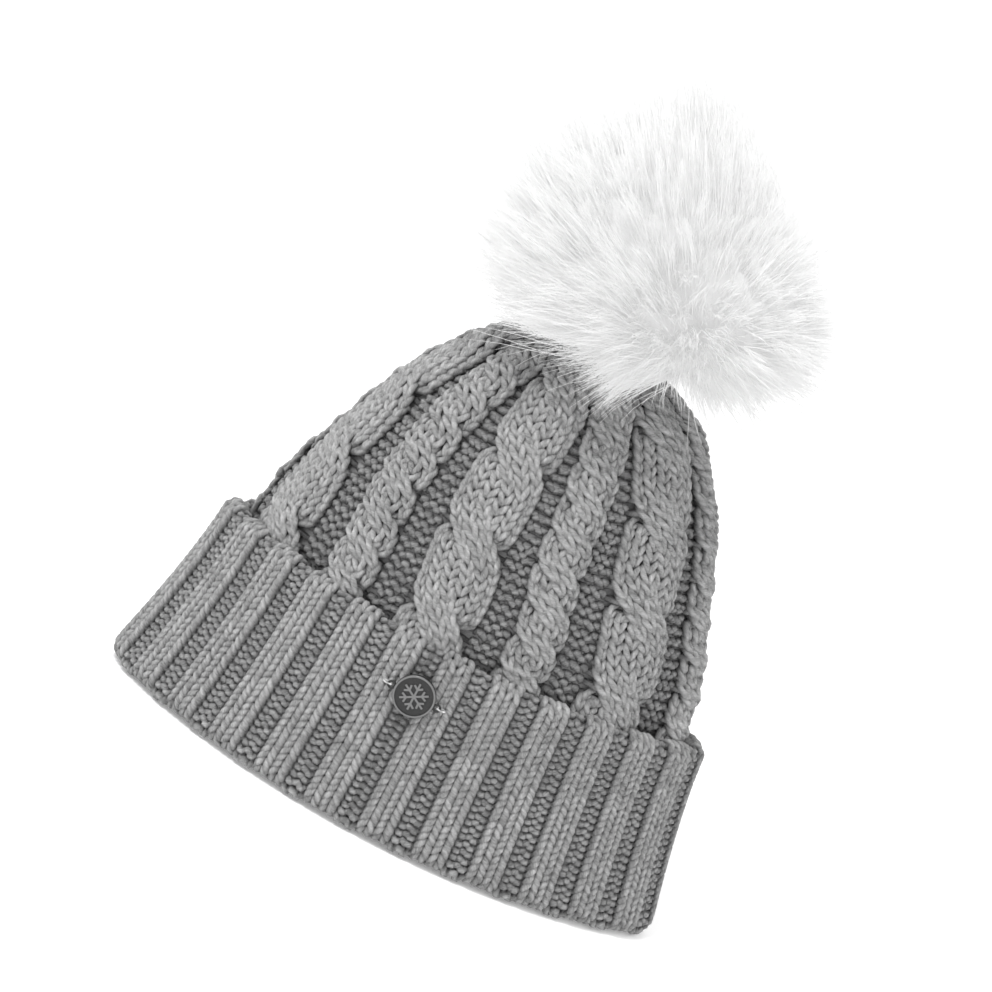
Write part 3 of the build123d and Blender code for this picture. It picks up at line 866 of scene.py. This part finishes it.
# a tuft hangs from the parting over the front of the crown
TUFT = 1500
TUFT_END = np.array((2.0, -43.0, 200.0))
TUFT_SPREAD = (9.0, 4.0, 7.0)
fan = rng.normal(0, 1, (TUFT, 3)) * TUFT_SPREAD
tuft_tips = TUFT_END + fan + np.array((-0.35, 0, 0.35)) * np.abs(fan[:, :1])
tuft_roots = unit(PARTING + rng.normal(0, 0.22, (TUFT, 3)))
tuft_paths = hair_paths(tuft_tips, tuft_roots, TUFT_RISE, rng.normal(0, 0.08, (TUFT, 3)))

paths = np.concatenate([paths, tuft_paths])
thick = np.concatenate([thick, np.full(TUFT, HAIR_R * 0.9)])
# the tuft's hairs are toned darker: painted shade under the pom
tone = np.concatenate([tone, rng.normal(0.1, 0.3, TUFT)])
order = rng.permutation(len(paths))
for i, part in enumerate(np.array_split(order, 7)):
    o = hair_mesh(paths[part], f"fur_hairs_{i + 1}", thick[part], tone[part])
    o.data.materials.append(fur)
    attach(o, "pom")
    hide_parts("pom_fur")

# the dense white wool under the long hairs
rings, spokes = 120, 200
lat = np.linspace(0.004, np.pi - 0.004, rings)[:, None] + np.zeros(spokes)
lon = np.zeros((rings, 1)) + np.arange(spokes) / spokes * 2 * np.pi
ball_dirs = np.stack([np.sin(lat) * np.cos(lon), np.sin(lat) * np.sin(lon), np.cos(lat)], -1)
near_lock = (ball_dirs.reshape(-1, 3) @ lock_dirs.T).max(1).reshape(lat.shape)
lumps = 1 + 0.5 * (near_lock - near_lock.mean()) / near_lock.std() * 0.03
ball = POM_MIDDLE + ball_dirs * (UNDERFUR * pom_reach(ball_dirs) * lumps)[..., None]
ball[..., 2] = np.maximum(ball[..., 2], knit_top(ball[..., 0], ball[..., 1]) + KNIT_CLEAR + 1)
index = np.arange(rings * spokes).reshape(rings, spokes)
a, b = index[:-1], index[1:]
quads = np.stack([a, b, np.roll(b, -1, 1), np.roll(a, -1, 1)], -1).reshape(-1, 4)
caps = [np.stack([np.full(spokes - 2, row[0]), row[1:-1], row[2:]], -1)
        for row in (index[0], index[-1][::-1])]
pom_core = new_mesh("pom_underfur", ball.reshape(-1, 3), quads, np.concatenate(caps))
# the wool under the hairs glows a little too: painted light
under_fur, n, shader = material("underfur", 0.95, 0.95, Emission_Color=grey(1),
                                Emission_Strength=PAINTED_FUR_GLOW)
fuzz = n.add("ShaderNodeTexNoise", {"Scale": 900.0, "Detail": 4.0}).outputs["Fac"]
n.bump(shader, fuzz, 0.001, 0.7)
n.link(n.ramp(fuzz, *FUR_TONES), shader.inputs["Base Color"])
pom_core.data.materials.append(under_fur)
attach(pom_core, "pom")
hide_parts("pom_backing", "pom_filling")


# ---- badge, threads, button and label ---------------------------------------
MOTIF_M, FACE_M = 0.00008, 0.00050      # metres behind the badge's front: its rim and motif, its sunk face
metal, n, shader = material("dark_satin_metal", 0.1, 0.38, Metallic=0.9)
place = n.place()
front = min(v.co.y for v in nodes["badge"].data.vertices)
# 0 on the sunk face, 1 on the rim and the motif, which are coloured lighter: partly polished metal, partly
# painted highlight
rise = n.add("ShaderNodeMapRange", {"From Min": front + FACE_M, "From Max": front + MOTIF_M})
n.link(n.parts(place)["Y"], rise.inputs["Value"])
raised = rise.outputs[0]
stretch = n.add("ShaderNodeMapping", {"Scale": (1.0, 1.0, 14.0)})
n.link(place, stretch.inputs["Vector"])
brushed = n.noise(stretch.outputs[0], 900.0)
spots = n.noise(place, 1800.0)
shade = n.total((raised, 0.62), (brushed, 0.26), (spots, 0.14))
n.link(n.ramp(shade, (0.12, 0.045), (0.35, 0.075), (0.95, 0.22)), shader.inputs["Base Color"])
n.link(n.total((brushed, 0.16), (raised, -0.22), start=0.50), shader.inputs["Roughness"])
n.bump(shader, n.total((brushed, 1.0), (spots, 0.5)), 0.00006)


def thread_material(name, dark, light, strand_mm, rough):
    """Twisted thread for small CAD rings and bars: slanted bands and fine fibres, as bump and in colour, the
    bands' troughs painted darker as shade in the twist.
    """
    m, n, shader = material(name, light, rough, Sheen_Weight=0.2)
    bands = n.bands(n.place(), "DIAGONAL", strand_mm, 1.2)
    height = n.total((bands, 1.0), (n.noise(n.place(), 2600.0), 0.5))
    n.link(n.ramp(n.math("MULTIPLY", height, 0.7), (0.15, dark), (0.9, light)), shader.inputs["Base Color"])
    n.bump(shader, height, strand_mm * 0.25 * MM)
    return m


plastic, n, shader = material("clear_white_plastic", 0.75, 0.3)
scuffs = n.noise(n.place(), 160.0, 6.0)
n.link(n.ramp(scuffs, (0.3, 0.62), (0.7, 0.80)), shader.inputs["Base Color"])
n.link(n.total((scuffs, 0.25), start=0.25), shader.inputs["Roughness"])
n.bump(shader, n.noise(n.place(), 700.0), 0.00004)

seam_thread = thread_material("seam_yarn", 0.10, 0.42, 1.6, 0.9)
white_thread = thread_material("tie_thread", 0.55, 0.88, 0.6, 0.6)
grey_thread = thread_material("badge_thread", 0.30, 0.80, 0.3, 0.35)
for name, finish in {
    "badge": metal, "badge_stitch_left": grey_thread, "badge_stitch_right": grey_thread,
    "label_stitches": grey_thread, "crown_tie": white_thread, "middle_tie": white_thread,
    "pom_tie": white_thread, "pom_gather_thread": white_thread, "crown_button": plastic,
    "pom_anchor_disc": plastic, "cuff_tacks": seam_thread, "crown_gather_yarn": seam_thread,
}.items():
    nodes[name].data.materials.clear()
    nodes[name].data.materials.append(finish)


SEAM_TURN_MM, SEAM_YARN_R, SEAM_MARGIN = 3.1, 1.0, 1.5
SEAM_REACH = (1.35, 0.9, 1.0)           # how far the wound yarn swings sideways, in depth and in height
TURN_SAMPLES, SEAM_SIDES = 14, 8


def wound_seam(node, name):
    """A seam inside the back: yarn wound round the joined edges."""
    low, high = (np.array(c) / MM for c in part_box(node))
    mesh = nodes[node]
    co = np.array([mesh.matrix_world @ v.co for v in mesh.data.vertices]) / MM
    heights = np.linspace(low[2] + SEAM_MARGIN, high[2] - SEAM_MARGIN, 24)
    middle = []
    for z in heights:
        near = co[np.argsort(np.abs(co[:, 2] - z))[:14]]
        middle.append(0.5 * (near[:, :2].min(0) + near[:, :2].max(0)))
    middle = np.array(middle)
    for _ in range(4):
        middle[1:-1] = (middle[:-2] + 2 * middle[1:-1] + middle[2:]) / 4
    turns = (high[2] - low[2]) / SEAM_TURN_MM
    s = np.linspace(0, 1, int(turns * TURN_SAMPLES))
    turned = 2 * np.pi * turns * s
    z = low[2] + SEAM_MARGIN + s * (high[2] - low[2] - 2 * SEAM_MARGIN)
    x = np.interp(z, heights, middle[:, 0]) + SEAM_REACH[0] * np.cos(turned)
    y = np.interp(z, heights, middle[:, 1]) + SEAM_REACH[1] * np.sin(turned)
    path = np.stack([x, y, z + SEAM_REACH[2] * np.sin(turned + 0.6)], -1)[None]
    hint = np.array([0.0, 1.0, 0.15])[None, None]
    verts, quads, tris, angle = tubes(path, hint, SEAM_YARN_R, SEAM_SIDES, False)
    obj = new_mesh(name, verts, quads, tris)
    step = np.concatenate([[0], np.cumsum(np.linalg.norm(np.diff(path[0], axis=0), axis=1))])
    length = np.concatenate([np.repeat(step, SEAM_SIDES), [0.0, step[-1]]])
    set_attribute(obj, "ply", np.stack([np.cos(angle), np.sin(angle), length], -1))
    set_attribute(obj, "shade", np.zeros(len(verts)))
    # one depth for the whole seam, so the seam yarn gets an even painted shade
    set_attribute(obj, "sunk", np.full(len(verts), 1.6))
    obj.data.materials.append(yarn)
    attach(obj, "hat")
    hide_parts(node)


wound_seam("body_seam", "body_seam_yarn")
wound_seam("rib_seam", "rib_seam_yarn")

# care label: a hung satin strip, and the folded tab that holds it
LABEL_HALF_WIDTH, LABEL_DROP, LABEL_THICK, TAB_THICK = 15.0, 35.0, 0.36, 0.9
LABEL_BOW, TAB_BOW = -1.1, 0.3
BORDER_M = (0.0118, 0.0130)             # metres from the label's middle


def cloth_strip(name, half_width, low, high, y, bow, thick):
    """A thin two-faced strip that hangs from its top edge and bows a little."""
    columns, rows = 60, 70
    u = np.linspace(-1, 1, columns)[None, :] + np.zeros((rows, 1))
    v = np.linspace(0, 1, rows)[:, None] + np.zeros((1, columns))
    x = u * half_width
    z = high + (low - high) * v
    wave = bow * (v**1.5) * (0.5 * np.cos(1.7 * u) - 0.35 * np.sin(2.6 * u + 1.0) * v)
    faces, verts = [], []
    for side in (-1, 1):
        verts.append(np.stack([x, y + wave + side * thick / 2, z], -1).reshape(-1, 3))
    index = np.arange(2 * rows * columns).reshape(2, rows, columns)
    for k, flip in ((0, False), (1, True)):
        a = index[k]
        q = np.stack([a[:-1, :-1], a[1:, :-1], a[1:, 1:], a[:-1, 1:]], -1).reshape(-1, 4)
        faces.append(q[:, ::-1] if flip else q)
    for a, b in ((index[0, 0], index[1, 0]), (index[1, -1], index[0, -1]),
                 (index[1, :, 0], index[0, :, 0]), (index[0, :, -1], index[1, :, -1])):
        faces.append(np.stack([a[:-1], a[1:], b[1:], b[:-1]], -1))
    return new_mesh(name, np.concatenate(verts), np.concatenate(faces))


satin, n, shader = material("label_satin", 0.8, 0.35, Sheen_Weight=0.2)
place = n.place()
weave = n.total((n.bands(place, "X", 0.45, 0.6), 0.6), (n.bands(place, "Z", 0.28, 0.6), 0.4))
# a woven darker border near both long edges
aside = n.math("ABSOLUTE", n.parts(place)["X"])
border = n.math("MULTIPLY", n.math("GREATER_THAN", aside, BORDER_M[0]),
                n.math("LESS_THAN", aside, BORDER_M[1]))
shade = n.total((weave, 0.5), (n.noise(place, 300.0), 0.5), (border, -0.8))
n.link(n.ramp(shade, (0.0, 0.28), (0.3, 0.70), (0.9, 0.88)), shader.inputs["Base Color"])
n.link(n.total((weave, 0.2), start=0.28), shader.inputs["Roughness"])
n.bump(shader, weave, 0.00008)

low, high = (np.array(c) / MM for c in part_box("care_label"))
label_y = 0.5 * (low[1] + high[1])
care_label = cloth_strip("care_label_cloth", LABEL_HALF_WIDTH, low[2], high[2], label_y, LABEL_BOW,
                         LABEL_THICK)
low, high = (np.array(c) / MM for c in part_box("label_tab"))
label_tab = cloth_strip("label_tab_cloth", LABEL_HALF_WIDTH, low[2], high[2], label_y, TAB_BOW, TAB_THICK)
for o, node, body in ((care_label, "care_label", "care_label"), (label_tab, "label_tab", "hat")):
    o.data.materials.append(satin)
    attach(o, body)
    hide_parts(node)

# ---- stage, light and camera ------------------------------------------------
LEAN = 28.0                 # the hat leans this far to the right in the picture
ELEVATION = 12.0            # degrees that the camera looks down
FIELD_MM = 387.0            # width of the picture at the hat
AIM_MM = (-13.7, 0.0, 130.0)
LENS_MM = 120.0
SENSOR_MM = 36.0

bpy.ops.mesh.primitive_plane_add(size=600, location=(0, 0, 0))
floor = bpy.context.object
floor.name = "floor"
pale = material("pale_floor", 0.86, 0.9, Specular_IOR_Level=0.1, Emission_Color=grey(1),
                Emission_Strength=0.25)[0]
floor.data.materials.append(pale)

world = bpy.data.worlds.new("studio")
bpy.context.scene.world = world
world.use_nodes = True
background = world.node_tree.nodes["Background"]
background.inputs["Color"].default_value = grey(1)
background.inputs["Strength"].default_value = 1.0


def area_light(name, place, size, power, aim=(0, 0, 0.12)):
    data = bpy.data.lights.new(name, "AREA")
    data.shape = "DISK"
    data.size = size
    data.energy = power
    light = bpy.data.objects.new(name, data)
    light.location = place
    direction = Vector(aim) - Vector(place)
    light.rotation_euler = direction.to_track_quat("-Z", "Y").to_euler()
    bpy.context.scene.collection.objects.link(light)


area_light("key", (-0.75, -0.75, 1.7), 0.6, 22)
area_light("fill", (1.3, -0.9, 0.8), 1.0, 2)

camera_data = bpy.data.cameras.new("camera")
camera_data.lens = LENS_MM
camera_data.sensor_width = SENSOR_MM
camera = bpy.data.objects.new("camera", camera_data)
bpy.context.scene.collection.objects.link(camera)
distance = FIELD_MM * MM / SENSOR_MM * LENS_MM
tilt = math.radians(ELEVATION)
aim = Vector(AIM_MM) * MM
toward = Vector((0, math.cos(tilt), -math.sin(tilt)))
camera.location = aim - toward * distance
level = toward.to_track_quat("-Z", "Y")
roll = Matrix.Rotation(math.radians(LEAN), 4, toward).to_quaternion()
camera.rotation_mode = "QUATERNION"
camera.rotation_quaternion = roll.inverted() @ level
bpy.context.scene.camera = camera
bpy.context.scene.view_settings.view_transform = "Standard"
